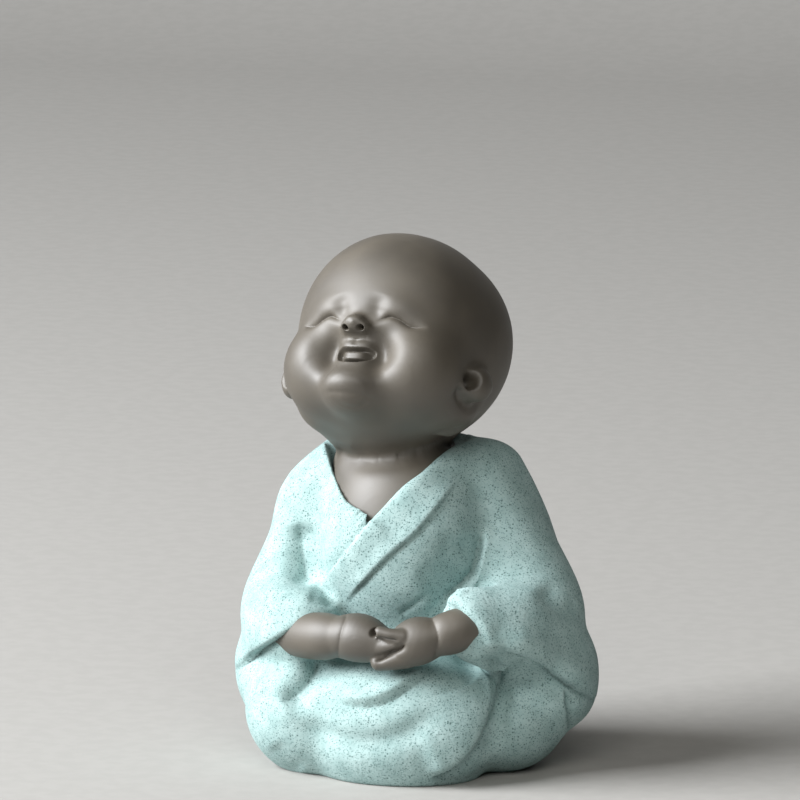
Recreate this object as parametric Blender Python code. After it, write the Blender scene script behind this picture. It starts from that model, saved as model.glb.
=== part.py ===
"""A little laughing monk of fired clay, seated with folded hands and a crossed robe.

The real one is pressed from brown clay with a robe of coloured sand, and fired in one piece.
Here the clay is built up as a modeller would: lumps are set in place, fused and softened,
then drapery and features are pressed in as strokes, and last the head and the hands are
joined with the robe into one solid.
Lengths are metres, +Z is up, the figure faces -Y and stands on its flat foot at Z = 0.
"""

import math

import bmesh
import bpy
import numpy as np
from mathutils import Euler, Matrix, Vector

# Driving dimensions
HEIGHT = 0.0765  # foot to crown

# The figure is modelled in shares of its own height: U is a 76.5th of it
U = HEIGHT / 76.5

# Pose of the head, in degrees: tipped back to laugh at the sky, turned and rolled a little to its right
HEAD_TIPPED_BACK = 33.0
HEAD_TURNED = -11.0
HEAD_ROLLED = -4.0
HEAD_CENTRE = (-2.4, -1.6, 60.4)
LEAN = -0.033  # how far the body leans to its right, as a share of height

# How the drapery strokes are drawn: as seen from in front and a little to the figure's left
THREE_QUARTER = (15.0, 10.0)
FACE_ON = (0.0, 0.0)

# Fineness of the clay, in model units, and the facets kept in each piece
COARSE = 0.8
FINE = 0.4
HANDS_FINE = 0.25
FACETS = {"robe": 4200, "head": 4700, "hands": 1000}
FACE_KEPT_FINER = 0.002

# What is cut away, in model units: the wedge between the lapels, drawn on the three-quarter view, the neck's
# opening in the robe, and everything under the foot
WEDGE_BACK, WEDGE_FRONT = 1.0, 40.0
RIGHT_COLLAR = [(-15.0, 56), (-13.3, 46.2), (-12.1, 41.4), (-10.4, 37.5), (-7.5, 33.5)]
LEFT_COLLAR = [(-2.45, 38.5), (3.3, 43.6), (8.4, 47.9), (12.0, 56)]
NECK_HOLE_AT = (-2.2, 2.0, 51.5)
NECK_HOLE_RADII = (8.9, 10.2)
NECK_HOLE_HEIGHT = 12.0
GROUND_SIZE = 100.0


# Clay: lumps, fusing and softening


def egg_mesh():
    bm = bmesh.new()
    bmesh.ops.create_uvsphere(bm, u_segments=32, v_segments=20, radius=1)
    mesh = bpy.data.meshes.new("egg")
    bm.to_mesh(mesh)
    bm.free()
    return mesh


class Lumps:
    """Eggs and rolls of clay, gathered in one bmesh."""

    def __init__(self, turned_by=None):
        self.bm = bmesh.new()
        self.turned_by = turned_by or Matrix.Identity(4)
        self.egg = egg_mesh()

    def egg_at(self, centre, radii, turned=(0, 0, 0)):
        """turned is in degrees about X, Y and Z."""
        turn = Euler([math.radians(a) for a in turned]).to_matrix().to_4x4()
        place = self.turned_by @ Matrix.Translation(centre) @ turn @ Matrix.Diagonal((*radii, 1))
        mesh = self.egg.copy()
        mesh.transform(place)
        self.bm.from_mesh(mesh)
        bpy.data.meshes.remove(mesh)

    def pair_at(self, centre, radii, turned=(0, 0, 0)):
        """The same egg on the left and on the right."""
        x, y, z = centre
        a, b, c = turned
        self.egg_at((x, y, z), radii, (a, b, c))
        self.egg_at((-x, y, z), radii, (a, -b, -c))

    def roll(self, stations, beads=8):
        """A tapering roll through stations of x, y, z and radius."""
        for x, y, z, radius in smooth_path(stations, beads):
            self.egg_at((x, y, z), (radius, radius, radius))

    def into(self, obj):
        """Presses the lumps onto an object's mesh."""
        self.bm.transform(Matrix.Scale(U, 4))
        self.bm.from_mesh(obj.data)
        self.bm.to_mesh(obj.data)
        self.bm.free()
        bpy.data.meshes.remove(self.egg)


def clay_object(name):
    obj = bpy.data.objects.new(name, bpy.data.meshes.new(name))
    bpy.context.scene.collection.objects.link(obj)
    return obj


def keep_evaluated(obj):
    """Makes the modifiers' result the object's own mesh."""
    bpy.context.view_layer.update()
    graph = bpy.context.evaluated_depsgraph_get()
    mesh = bpy.data.meshes.new_from_object(obj.evaluated_get(graph))
    obj.modifiers.clear()
    obj.data = mesh


def fuse(obj, voxel, passes):
    """Fuses overlapping lumps into one skin and softens where they meet."""
    skin = obj.modifiers.new("fuse", "REMESH")
    skin.mode = "VOXEL"
    skin.voxel_size = voxel * U
    soften = obj.modifiers.new("soften", "SMOOTH")
    soften.factor = 0.5
    soften.iterations = passes
    keep_evaluated(obj)


# Strokes: drawn as seen from a direction, pressed along the surface's normals


def smooth_path(points, steps=10):
    """A Catmull-Rom curve through the points."""
    p = np.array(points, float)
    p = np.vstack([2 * p[0] - p[1], p, 2 * p[-1] - p[-2]])
    t = np.linspace(0, 1, steps, endpoint=False)[:, None]
    parts = [
        0.5 * (2 * b + (c - a) * t + (2 * a - 5 * b + 4 * c - d) * t**2 + (3 * b - a - 3 * c + d) * t**3)
        for a, b, c, d in zip(p, p[1:], p[2:], p[3:])
    ]
    return np.vstack([*parts, p[-2:-1]])


def ramp(x):
    """0 below 0, 1 above 1, smooth between."""
    x = np.clip(x, 0, 1)
    return x * x * (3 - 2 * x)


class Surface:
    """The points and normals of a piece, in model units, while strokes are pressed into it."""

    def __init__(self, obj, frame=None):
        self.mesh = obj.data
        frame = np.array(frame or Matrix.Identity(4), float)
        self.turn, self.origin = frame[:3, :3], frame[:3, 3]
        co = np.empty(len(self.mesh.vertices) * 3, np.float32)
        self.mesh.vertices.foreach_get("co", co)
        self.co = (co.reshape(-1, 3).astype(float) / U - self.origin) @ self.turn
        self.refresh()

    def refresh(self):
        """Writes the points back and reads the normals again."""
        world = self.co @ self.turn.T + self.origin
        self.mesh.vertices.foreach_set("co", (world * U).astype(np.float32).ravel())
        self.mesh.update()
        normals = np.empty(len(self.co) * 3, np.float32)
        self.mesh.vertex_normals.foreach_get("vector", normals)
        self.no = normals.reshape(-1, 3).astype(float) @ self.turn

    def seen(self, view):
        """Across and up in the picture plane of a direction, and how far each point faces it."""
        a, e = (math.radians(x) for x in view)
        right = np.array((math.cos(a), math.sin(a), 0))
        up = np.array((-math.sin(a) * math.sin(e), math.cos(a) * math.sin(e), math.cos(e)))
        flat = np.stack([self.co @ right, self.co @ up], 1)
        return flat, self.no @ np.cross(right, up)

    def near(self, view, path):
        """How far each point is from a drawn line, on its left (1) or right (-1), and how far along."""
        flat, facing = self.seen(view)
        line = smooth_path(path)
        runs = np.diff(line, axis=0)
        length = np.linalg.norm(runs, axis=1)
        start = np.concatenate([[0], np.cumsum(length)])
        best = np.full(len(flat), np.inf)
        side = np.zeros(len(flat))
        share = np.zeros(len(flat))
        for a, run, size, begun in zip(line, runs, length, start):
            away = flat - a
            t = np.clip(away @ run / size**2, 0, 1)
            d = np.linalg.norm(away - t[:, None] * run, axis=1)
            closer = d < best
            best = np.where(closer, d, best)
            side = np.where(closer, np.sign(run[0] * away[:, 1] - run[1] * away[:, 0]), side)
            share = np.where(closer, (begun + t * size) / start[-1], share)
        return best, side, share, facing

    def press(self, amount, along=None):
        """Moves every point by amount along its normal, or along a fixed direction."""
        self.co = self.co + amount[:, None] * (self.no if along is None else np.array(along, float))

    def crease(self, view, path, width, depth, fade=0.15):
        """A valley with a sharp bottom."""
        d, _, share, facing = self.near(view, path)
        ends = ramp(np.minimum(share, 1 - share) / fade)
        self.press(-depth * np.exp(-d / width) * ends * ramp(facing / 0.25))

    def fold(self, view, path, width, height, fade=0.25):
        """A soft ridge, or with a negative height a soft hollow."""
        d, _, share, facing = self.near(view, path)
        ends = ramp(np.minimum(share, 1 - share) / fade)
        self.press(height * np.exp(-((d / width) ** 2)) * ends * ramp(facing / 0.25))

    def edge(self, view, path, lift, reach, undercut=0.3, fade=0.12, sharp=0.4):
        """The edge of a layer of cloth: left of the stroke stands proud, right is tucked in."""
        d, side, share, facing = self.near(view, path)
        ends = ramp(np.minimum(share, 1 - share) / fade)
        proud = lift * ramp(d / sharp) * np.exp(-((d / reach) ** 2)) * (side > 0)
        tucked = undercut * np.exp(-d / (1.5 * sharp)) * (side <= 0)
        self.press((proud - tucked) * ends * ramp(facing / 0.25))

    def poke(self, spot, inward, radius, depth):
        """A round pit, pushed in at a spot."""
        inward = np.array(inward, float) / np.linalg.norm(inward)
        away = self.co - np.array(spot)
        off_axis = np.linalg.norm(away - (away @ inward)[:, None] * inward, axis=1)
        here = (np.abs(away @ inward) < 3 * radius + 1) * ramp(-(self.no @ inward) / 0.2)
        self.press(depth * np.exp(-((off_axis / radius) ** 4)) * here, inward)

    def swell(self, centre, radii, height):
        """A soft bump round a point, or with a negative height a dent."""
        away = (self.co - np.array(centre)) / np.array(radii)
        self.press(height * np.exp(-(away**2).sum(1)))


# The robe

# Stations of x, y, z and radius from the shoulder down each sleeve
LEFT_SLEEVE = [
    (10.2, 2.5, 41.2, 6.1),
    (14.9, 1.5, 31.0, 7.1),
    (18.8, -2.0, 22.5, 7.3),
    (17.0, -9.0, 21.5, 6.6),
    (13.4, -13.4, 22.2, 5.3),
]
RIGHT_SLEEVE = [
    (-9.8, 2.5, 41.2, 5.9),
    (-13.2, 2.1, 36.0, 6.8),
    (-14.6, 1.3, 30.0, 6.9),
    (-17.8, -1.5, 21.5, 7.2),
    (-15.6, -9.0, 20.6, 6.4),
    (-12.6, -12.2, 21.2, 5.0),
]


def lean():
    """The body's lean to its right."""
    shear = Matrix.Identity(4)
    shear[0][2] = LEAN
    return shear


def robe_lumps():
    clay = Lumps(lean())
    clay.egg_at((0, 3.5, 24), (17.0, 13.5, 24))
    clay.egg_at((0, -1.5, 32), (12.8, 12.2, 15.5))
    clay.egg_at((0, 2.2, 43.3), (12.4, 11.0, 4.9))
    clay.egg_at((-0.6, 5, 9.5), (21.2, 16, 12))
    clay.egg_at((0, 8.5, 24), (16.4, 11.5, 21))
    # The left knee lies lower and further back than the apron of cloth over the right one
    clay.egg_at((12.8, -2.8, 7.6), (10.2, 11.0, 8.4))
    clay.egg_at((-11.6, -7.2, 8.0), (11.4, 12.8, 10.2))
    clay.egg_at((0.6, -11.6, 7.0), (14.8, 10.8, 11.2))
    # The sleeves hang in pouches behind the knees
    clay.egg_at((-20.0, -1.5, 12.6), (6.0, 9.0, 8.8))
    clay.egg_at((21.4, -1.5, 14.0), (6.2, 8.4, 8.8))
    clay.egg_at((23.0, -1.2, 10.8), (4.4, 5.6, 5.4))
    clay.roll(LEFT_SLEEVE)
    clay.roll(RIGHT_SLEEVE)
    return clay


def drape(robe):
    """The crossed collar, the sleeves' hems and the folds of the lap."""
    cloth = Surface(robe)
    # The left lapel lies over the right one, and a band is sewn along its edge
    lapel = [(-5.6, 35.2), (-7.5, 33.3), (-9.7, 30.5), (-12.0, 27.6), (-14.2, 24.6)]
    cloth.edge(THREE_QUARTER, lapel, 0.7, 3.2, 0.5, 0.1, 0.3)
    # Below the band the robe falls away to the inner side of the left sleeve
    cloth.fold(THREE_QUARTER, [(7.4, 33.0), (6.2, 29.0), (3.6, 25.6), (0.6, 23.4)], 3.0, -1.1)
    cloth.refresh()
    seam = [(-10.4, 22.0), (-8.1, 25.0), (-4.2, 29.1), (-0.4, 32.4), (2.3, 35.5), (5.0, 38.8), (7.4, 41.3)]
    cloth.edge(THREE_QUARTER, seam, 0.45, 1.6, 0.55, 0.2, 0.25)
    # Inner sides of the upper sleeves
    right_inner_arm = [(-17.2, 34.0), (-16.6, 30.0), (-16.0, 27.0), (-15.6, 24.6)]
    cloth.fold(THREE_QUARTER, right_inner_arm, 2.2, -1.3)
    cloth.crease(THREE_QUARTER, right_inner_arm, 0.7, 0.6)
    cloth.fold(THREE_QUARTER, [(-15.6, 23.8), (-13.8, 23.0), (-11.4, 22.2)], 0.8, -0.5)
    left_inner_arm = [(9.6, 34.0), (8.8, 29.5), (8.0, 26.8), (6.4, 25.0), (4.6, 23.5), (2.6, 21.6)]
    cloth.edge(THREE_QUARTER, left_inner_arm, 1.3, 3.4, 1.1, 0.25, 0.7)
    cloth.refresh()
    # Hems that come down over the knees, and the left cuff
    right_hem = [(-27.5, 11.5), (-24.9, 13.8), (-22.4, 15.8), (-19.7, 17.5), (-16.6, 19.4), (-13.7, 21.4)]
    cloth.edge(THREE_QUARTER, right_hem, 0.8, 3.0, 1.7, 0.2, 0.5)
    left_cuff = [(3.6, 23.0), (6.4, 21.3), (8.4, 19.5), (9.6, 17.6), (9.8, 15.8)]
    cloth.edge(THREE_QUARTER, left_cuff, 0.8, 2.6, 1.4, 0.2, 0.5)
    left_hem = [(7.4, 17.4), (9.7, 16.5), (13.1, 15.8), (16.6, 14.4), (20.9, 11.5), (24.7, 9.2), (27.0, 7.6)]
    cloth.edge(THREE_QUARTER, left_hem, 0.8, 3.2, 1.7, 0.12, 0.5)
    below_hem = [(11.0, 14.6), (16.2, 12.4), (20.4, 9.4), (23.5, 7.2)]
    cloth.fold(THREE_QUARTER, below_hem, 1.4, -1.0)
    above_hem = [(11.0, 18.4), (14.6, 17.6), (18.4, 15.8), (22.6, 13.0), (25.4, 10.4)]
    cloth.fold(THREE_QUARTER, above_hem, 1.7, 0.7)
    # The pouch of the left sleeve hangs behind the knee, under a soft dent
    behind_knee = [(21.6, 1.6), (21.5, 5.2), (21.3, 7.6), (20.8, 10.4)]
    cloth.edge(THREE_QUARTER, behind_knee, 0.2, 2.0, 1.5, 0.2, 0.5)
    dent = [(17.4, 25.6), (18.6, 23.8), (20.5, 21.6), (22.8, 21.1), (24.4, 22.2)]
    cloth.fold(THREE_QUARTER, dent, 1.6, -0.6)
    cloth.refresh()
    # The right knee ends in a crease, and two sagging folds cross the lap
    knee = [(-13.2, 16.4), (-14.2, 13.8), (-15.4, 11.8), (-17.2, 9.9), (-19.6, 8.2)]
    cloth.fold(THREE_QUARTER, knee, 2.1, -1.9)
    cloth.crease(THREE_QUARTER, knee, 0.8, 0.7)
    upper_sag = [(-13.4, 9.9), (-11.6, 8.9), (-9.4, 8.3), (-6.6, 8.3), (-3.5, 9.4), (-0.4, 11.5), (2.6, 14.0)]
    cloth.edge(THREE_QUARTER, upper_sag, 0.9, 3.0, 0.5, 0.3, 1.0)
    lower_sag = [(-19.6, 7.0), (-15.9, 5.0), (-12.0, 3.6), (-7.3, 3.0), (-2.7, 3.9), (0.9, 5.8), (3.8, 8.9)]
    cloth.fold(THREE_QUARTER, lower_sag, 1.7, -0.75)
    # The cloth over the right leg ends in a thick round edge on the left knee
    apron_edge = [(1.6, -2.4), (5.8, -0.3), (8.5, 2.6), (10.2, 6.1), (11.2, 10.0), (10.9, 12.8), (8.9, 14.8)]
    cloth.edge(THREE_QUARTER, apron_edge, 1.2, 5.0, 2.2, 0.12, 1.3)
    cloth.fold(THREE_QUARTER, [(9.6, 1.4), (11.8, 5.2), (12.8, 9.8), (12.6, 12.8)], 1.3, -0.7)
    # A hollow by the foot
    cloth.fold(THREE_QUARTER, [(-20.8, 2.6), (-18.6, 0.0), (-16.0, -1.8)], 1.3, -0.4)
    cloth.refresh()


def build_robe():
    robe = clay_object("little_monk")
    robe_lumps().into(robe)
    fuse(robe, COARSE, 18)
    fuse(robe, FINE, 6)
    drape(robe)
    return robe


def build_collar_opening():
    """The wedge cut from the robe where the lapels part."""
    outline = RIGHT_COLLAR + LEFT_COLLAR
    a, e = (math.radians(x) for x in THREE_QUARTER)
    across = Vector((math.cos(a), math.sin(a), 0))
    up = Vector((-math.sin(a) * math.sin(e), math.cos(a) * math.sin(e), math.cos(e)))
    towards = across.cross(up)
    bm = bmesh.new()
    rings = [
        [bm.verts.new((across * u + up * v + towards * depth) * U) for u, v in outline]
        for depth in (WEDGE_BACK, WEDGE_FRONT)
    ]
    for ring in rings:
        bm.faces.new(ring)
    for i in range(len(outline)):
        bm.faces.new([rings[0][i - 1], rings[0][i], rings[1][i], rings[1][i - 1]])
    bmesh.ops.recalc_face_normals(bm, faces=bm.faces)
    wedge = clay_object("collar_opening")
    bm.to_mesh(wedge.data)
    bm.free()
    return wedge


def build_neck_opening():
    low, high = (radius * U for radius in NECK_HOLE_RADII)
    bm = bmesh.new()
    bmesh.ops.create_cone(
        bm, cap_ends=True, segments=48, radius1=low, radius2=high, depth=NECK_HOLE_HEIGHT * U
    )
    bm.transform(Matrix.Translation(Vector(NECK_HOLE_AT) * U))
    well = clay_object("neck_opening")
    bm.to_mesh(well.data)
    bm.free()
    return well


def build_ground():
    """What the foot is ground flat against."""
    bm = bmesh.new()
    bmesh.ops.create_cube(bm, size=GROUND_SIZE * U)
    bm.transform(Matrix.Translation((0, 0, -GROUND_SIZE / 2 * U)))
    ground = clay_object("ground")
    bm.to_mesh(ground.data)
    bm.free()
    return ground


# The head


def head_frame():
    tip = Matrix.Rotation(math.radians(-HEAD_TIPPED_BACK), 4, "X")
    turn = Matrix.Rotation(math.radians(HEAD_TURNED), 4, "Z")
    roll = Matrix.Rotation(math.radians(HEAD_ROLLED), 4, "Y")
    return Matrix.Translation(HEAD_CENTRE) @ turn @ tip @ roll


def mirrored(path, side):
    return [(side * x, z) for x, z in path]


def build_head():
    """The head is modelled upright, facing -Y, about its own middle."""
    head = clay_object("head")
    skull = Lumps(head_frame())
    skull.egg_at((0, 2.5, 1.2), (15.8, 14.0, 15.0))
    skull.egg_at((0, 0.2, 1.4), (14.9, 14.2, 15.0))
    skull.egg_at((0, -2.3, 1.2), (13.8, 12.7, 14.5))
    # Jaw and cheeks
    skull.egg_at((0, -2.6, -6.4), (12.5, 11.5, 9.1))
    skull.pair_at((6.2, -4.8, -6.6), (7.7, 9.3, 7.6))
    skull.pair_at((8.0, -0.9, -7.9), (6.2, 7.4, 6.2))
    skull.egg_at((0, -8.4, -10.8), (5.2, 5.2, 4.2))
    skull.into(head)
    # The throat fills the collar, and the chest shows between the lapels
    neck = Lumps()
    neck.egg_at((-3.0, 0.4, 50.8), (11.8, 10.8, 6.2), (14, -8, 0))
    neck.egg_at((-1.6, -0.3, 34.5), (11.5, 11.5, 13.5))
    neck.egg_at((-2.2, 1.4, 42.4), (10.9, 9.6, 4.4))
    neck.into(head)
    fuse(head, COARSE, 24)

    features = Lumps(head_frame())
    # Nose: a button with two wings
    features.egg_at((0, -15.0, -3.2), (1.75, 1.75, 1.5))
    features.pair_at((1.35, -14.6, -3.8), (1.05, 1.25, 0.95))
    features.egg_at((0, -13.4, -1.4), (1.2, 1.0, 2.0))
    # Lips
    features.egg_at((0, -12.8, -5.9), (3.0, 1.4, 1.1))
    features.egg_at((0, -12.3, -8.9), (2.6, 1.4, 1.0))
    # Ears
    features.pair_at((13.9, -1.3, -6.9), (2.3, 3.1, 3.0), (0, 10, 0))
    features.pair_at((12.5, -3.6, -8.2), (1.9, 2.2, 1.6))
    features.into(head)
    fuse(head, FINE, 6)
    carve_face(head)
    body = Surface(head)
    throat = [(8.4, 48.4), (6.8, 47.3), (2.7, 45.2), (-1.0, 43.9), (-4.5, 43.3), (-8.0, 43.2), (-12.9, 46.0)]
    body.fold(THREE_QUARTER, throat, 1.6, -0.9)
    body.crease(THREE_QUARTER, throat, 0.6, 0.6)
    body.refresh()
    return head


def carve_face(head):
    """Cheeks, closed eyes, ears, chin and the laughing mouth."""
    face = Surface(head, head_frame())
    for side in (-1, 1):
        # Fat cheeks crowd the mouth: each slopes down to a valley beside it
        slope = [(3.4, -2.8), (4.2, -4.8), (4.7, -7.2), (4.4, -9.6), (3.9, -11.6)]
        face.fold(FACE_ON, mirrored(slope, side), 2.2, -1.1)
        valley = [(2.7, -3.0), (3.3, -5.0), (3.6, -7.2), (3.6, -9.4), (4.0, -11.4), (4.6, -13.4)]
        face.fold(FACE_ON, mirrored(valley, side), 1.0, -0.9)
        # A soft mound for the closed eye, and a hollow from the brow down to its inner corner
        face.swell((side * 4.9, -13.0, -0.3), (2.3, 4.0, 1.8), 0.65)
        face.swell((side * 3.0, -13.0, 0.1), (0.9, 4.0, 1.7), -0.35)
        face.swell((side * 2.7, -13.0, -1.6), (1.0, 4.0, 1.1), -0.65)
        # The ear stands clear of the jaw below
        under_ear = [(-6.0, -8.6), (-3.8, -10.0), (-1.0, -10.2), (1.2, -8.8), (2.0, -6.6)]
        face.crease((side * 90.0, 0.0), mirrored(under_ear, side), 0.7, 0.8)
    # Where the nose sits on the lip
    face.fold(FACE_ON, [(-2.8, -4.7), (-1.4, -5.1), (0, -5.2), (1.4, -5.1), (2.8, -4.7)], 0.5, -0.4)
    # Chin
    face.swell((0, -13.0, -11.8), (3.5, 5.0, 1.8), 2.1)
    face.refresh()
    for side in (-1, 1):
        # The closed lid, the nostril and the ear's pit
        lid = [(2.5, -2.6), (3.5, -2.1), (4.6, -1.8), (6.0, -2.0), (7.5, -2.5), (8.8, -2.5), (9.8, -2.1)]
        face.crease(FACE_ON, mirrored(lid, side), 0.4, 0.8, 0.3)
        face.poke((side * 1.15, -16.0, -4.7), (0, 0.75, 0.66), 0.5, 0.9)
        face.poke((side * 13.6, -3.4, -7.1), (-side * 0.75, 0.66, 0), 1.1, 2.2)
    under_chin = [(-5.6, -13.0), (-2.5, -13.7), (0, -13.9), (2.5, -13.7), (5.6, -13.0)]
    face.crease(FACE_ON, under_chin, 1.0, 0.4, 0.4)
    face.refresh()
    # A dark crescent with the tongue showing in it
    x, y, z = face.co.T
    across_mouth, down_mouth = (x + 0.2) / 3.2, (z + 7.7 - 0.08 * x**2) / 1.25
    opening = 1 - np.abs(across_mouth) ** 3 - np.abs(down_mouth) ** 2.6
    inside = ramp(opening / 0.8) * (y < -8)
    tongue = np.exp(-(((x + 0.3) / 2.2) ** 6) - ((z + 7.65 - 0.06 * x**2) / 0.5) ** 4)
    face.press(-inside * (1.7 - 1.1 * tongue), (0, -1, 0))
    face.refresh()


# The hands


def build_hands():
    """The right hand lies over the left one, and each forearm comes out of its sleeve."""
    hands = clay_object("hands")
    clay = Lumps()
    # Right forearm, hand and fingertips
    clay.roll([(-16.4, -10.5, 19.6, 3.1), (-13.0, -14.4, 20.1, 3.25), (-9.4, -16.7, 20.6, 3.4)])
    right_hand = [(-9.4, -16.7, 20.6, 3.4), (-6.7, -17.8, 20.9, 3), (-3.6, -18.3, 21, 3.5), (-0.8, -18.9, 20.5, 2.7)]
    clay.roll(right_hand)
    clay.roll([(-0.6, -19.6, 20.3, 1.9), (1.2, -20.4, 20.5, 1.45), (2.4, -20.9, 20.8, 1.1)])
    # Left forearm, hand, fingers and thumb
    clay.roll([(15.4, -12.0, 23.3, 2.9), (11.4, -16.0, 22.8, 3.05), (9.4, -17.4, 22.2, 3.1)])
    left_hand = [(9.4, -17.4, 22.2, 3.1), (7.4, -18.2, 21.6, 2.8), (5, -18.5, 21, 3.45), (3.4, -19, 20.2, 2.9)]
    clay.roll(left_hand)
    clay.roll([(3.6, -19.4, 19.4, 2.1), (1.6, -20.0, 18.5, 1.5), (-0.4, -20.3, 17.8, 0.95)])
    clay.roll([(3.4, -20.8, 21.9, 1.3), (1.8, -21.4, 22.2, 1.05), (0.3, -21.5, 22.6, 0.9)])
    clay.into(hands)
    fuse(hands, HANDS_FINE, 4)
    # The gap between the hands
    skin = Surface(hands)
    skin.crease(THREE_QUARTER, [(-1.6, 17.2), (-2.6, 16.2), (-4.3, 15.4), (-6.2, 14.4)], 0.3, 0.8, 0.2)
    skin.refresh()
    return hands


# Putting it together


def colour(name, hex_code, roughness):
    """A plain fired finish."""
    channels = [int(hex_code[i : i + 2], 16) / 255 for i in (0, 2, 4)]
    linear = [c / 12.92 if c <= 0.04045 else ((c + 0.055) / 1.055) ** 2.4 for c in channels]
    material = bpy.data.materials.new(name)
    material.use_nodes = True
    shader = material.node_tree.nodes["Principled BSDF"]
    shader.inputs["Base Color"].default_value = (*linear, 1)
    shader.inputs["Roughness"].default_value = roughness
    return material


def thin_out(obj, facets, fine_where=None):
    """Keeps this many facets, most of them where the form turns and where it is to stay fine."""
    obj.data.shade_smooth()
    thin = obj.modifiers.new("thin out", "DECIMATE")
    thin.ratio = facets / (2 * len(obj.data.polygons))
    if fine_where is not None:
        group = obj.vertex_groups.new(name="may be thinned")
        group.add(np.flatnonzero(~fine_where).tolist(), 1.0, "REPLACE")
        group.add(np.flatnonzero(fine_where).tolist(), 0.8, "REPLACE")
        thin.vertex_group = group.name
        thin.vertex_group_factor = FACE_KEPT_FINER


def join(obj, other, operation):
    other.hide_render = True
    other.display_type = "WIRE"
    step = obj.modifiers.new(f"{operation.lower()} {other.name}", "BOOLEAN")
    step.operation = operation
    step.solver = "EXACT"
    step.material_mode = "TRANSFER"
    step.object = other


def stand_on_origin(objects, figure):
    """Brings the middle of the figure's box to the origin."""
    keep = figure.evaluated_get(bpy.context.evaluated_depsgraph_get())
    corners = np.array([keep.matrix_world @ Vector(c) for c in keep.bound_box])
    low, high = corners.min(0), corners.max(0)
    for obj in objects:
        obj.location -= Vector(((low[0] + high[0]) / 2, (low[1] + high[1]) / 2, low[2]))


def main():
    for obj in list(bpy.data.objects):
        bpy.data.objects.remove(obj)
    aqua_sand = colour("aqua sand", "B4DAD6", 0.9)
    brown_clay = colour("brown clay", "5F554B", 0.5)
    robe, head, hands = build_robe(), build_head(), build_hands()
    robe.data.materials.append(aqua_sand)
    head.data.materials.append(brown_clay)
    hands.data.materials.append(brown_clay)
    thin_out(robe, FACETS["robe"])
    face = Surface(head, head_frame())
    thin_out(head, FACETS["head"], (face.co[:, 1] < -10) & (np.abs(face.co[:, 0]) < 8) & (face.co[:, 2] < 3))
    thin_out(hands, FACETS["hands"])
    wedge, well, ground = build_collar_opening(), build_neck_opening(), build_ground()
    join(robe, wedge, "DIFFERENCE")
    join(robe, well, "DIFFERENCE")
    join(robe, head, "UNION")
    join(robe, hands, "UNION")
    join(robe, ground, "DIFFERENCE")
    stand_on_origin((robe, head, hands, wedge, well, ground), robe)


main()
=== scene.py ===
# %% [markdown]
# # A laughing little monk of fired clay
#
# The real one is a tea-side ornament, a hand tall at most. Its maker presses fine brown clay into a
# bald laughing baby, lays a robe of coloured sand over the wet body and fires both together. We make
# it the way that a modeller in clay would: lumps are set in place and fused, then softened, and the
# features and folds are pressed in with a stick. The construction model fixes where it stands and how
# tall it is, so everything here is a share of that height.

# %% Load the construction model and keep its box
import math

import bpy
import numpy as np
from mathutils import Matrix, Vector


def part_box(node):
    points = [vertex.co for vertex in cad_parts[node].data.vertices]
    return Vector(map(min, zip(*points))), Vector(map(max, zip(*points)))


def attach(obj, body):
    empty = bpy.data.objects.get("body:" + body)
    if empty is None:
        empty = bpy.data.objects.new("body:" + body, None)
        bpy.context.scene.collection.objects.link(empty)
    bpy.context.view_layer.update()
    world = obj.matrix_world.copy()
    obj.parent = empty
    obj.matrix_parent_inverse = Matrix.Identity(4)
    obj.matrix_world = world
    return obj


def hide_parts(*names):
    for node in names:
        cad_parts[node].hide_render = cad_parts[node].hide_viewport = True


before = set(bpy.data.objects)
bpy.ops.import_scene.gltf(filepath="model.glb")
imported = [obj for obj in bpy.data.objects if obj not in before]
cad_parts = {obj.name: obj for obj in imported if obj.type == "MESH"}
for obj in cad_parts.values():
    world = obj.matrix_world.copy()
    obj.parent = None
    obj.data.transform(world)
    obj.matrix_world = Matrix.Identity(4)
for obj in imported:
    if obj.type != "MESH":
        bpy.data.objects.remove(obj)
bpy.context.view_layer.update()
CAD_LOW, CAD_HIGH = (Vector(corner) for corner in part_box("little_monk"))

# The figure is modelled this many units tall, so that a unit is about a millimetre at its usual size
UNITS_TALL = 76.5
U = (CAD_HIGH.z - CAD_LOW.z) / UNITS_TALL
MM = 0.001
print("one model unit is", round(U / MM, 4), "mm")

# %% [markdown]
# ## Clay: lumps that fuse
#
# A soft body could be pushed out of one sphere, or built from a cage with subdivision. Clay has no
# cage: it is lumps that melt into one another. So each lump is a sphere primitive, added at its size
# and place.

# %% Eggs and rolls of clay

EGG_SEGMENTS, EGG_RINGS = 32, 20


def egg(centre, radii, turned=(0, 0, 0)):
    """Adds an egg-shaped lump. turned is in degrees about X, Y and Z."""
    bpy.ops.mesh.primitive_uv_sphere_add(
        segments=EGG_SEGMENTS,
        ring_count=EGG_RINGS,
        radius=1,
        calc_uvs=False,
        location=Vector(centre) * U,
        rotation=[math.radians(a) for a in turned],
        scale=Vector(radii) * U,
    )
    return bpy.context.object


def pair(centre, radii, turned=(0, 0, 0)):
    """The same egg on the left and on the right."""
    x, y, z = centre
    a, b, c = turned
    return [egg((x, y, z), radii, (a, b, c)), egg((-x, y, z), radii, (a, -b, -c))]


def smooth_path(points, steps=10):
    """A Catmull-Rom curve through the points."""
    p = np.array(points, float)
    p = np.vstack([2 * p[0] - p[1], p, 2 * p[-1] - p[-2]])
    t = np.linspace(0, 1, steps, endpoint=False)[:, None]
    parts = [
        0.5 * (2 * b + (c - a) * t + (2 * a - 5 * b + 4 * c - d) * t**2 + (3 * b - a - 3 * c + d) * t**3)
        for a, b, c, d in zip(p, p[1:], p[2:], p[3:])
    ]
    return np.vstack([*parts, p[-2:-1]])


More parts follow.
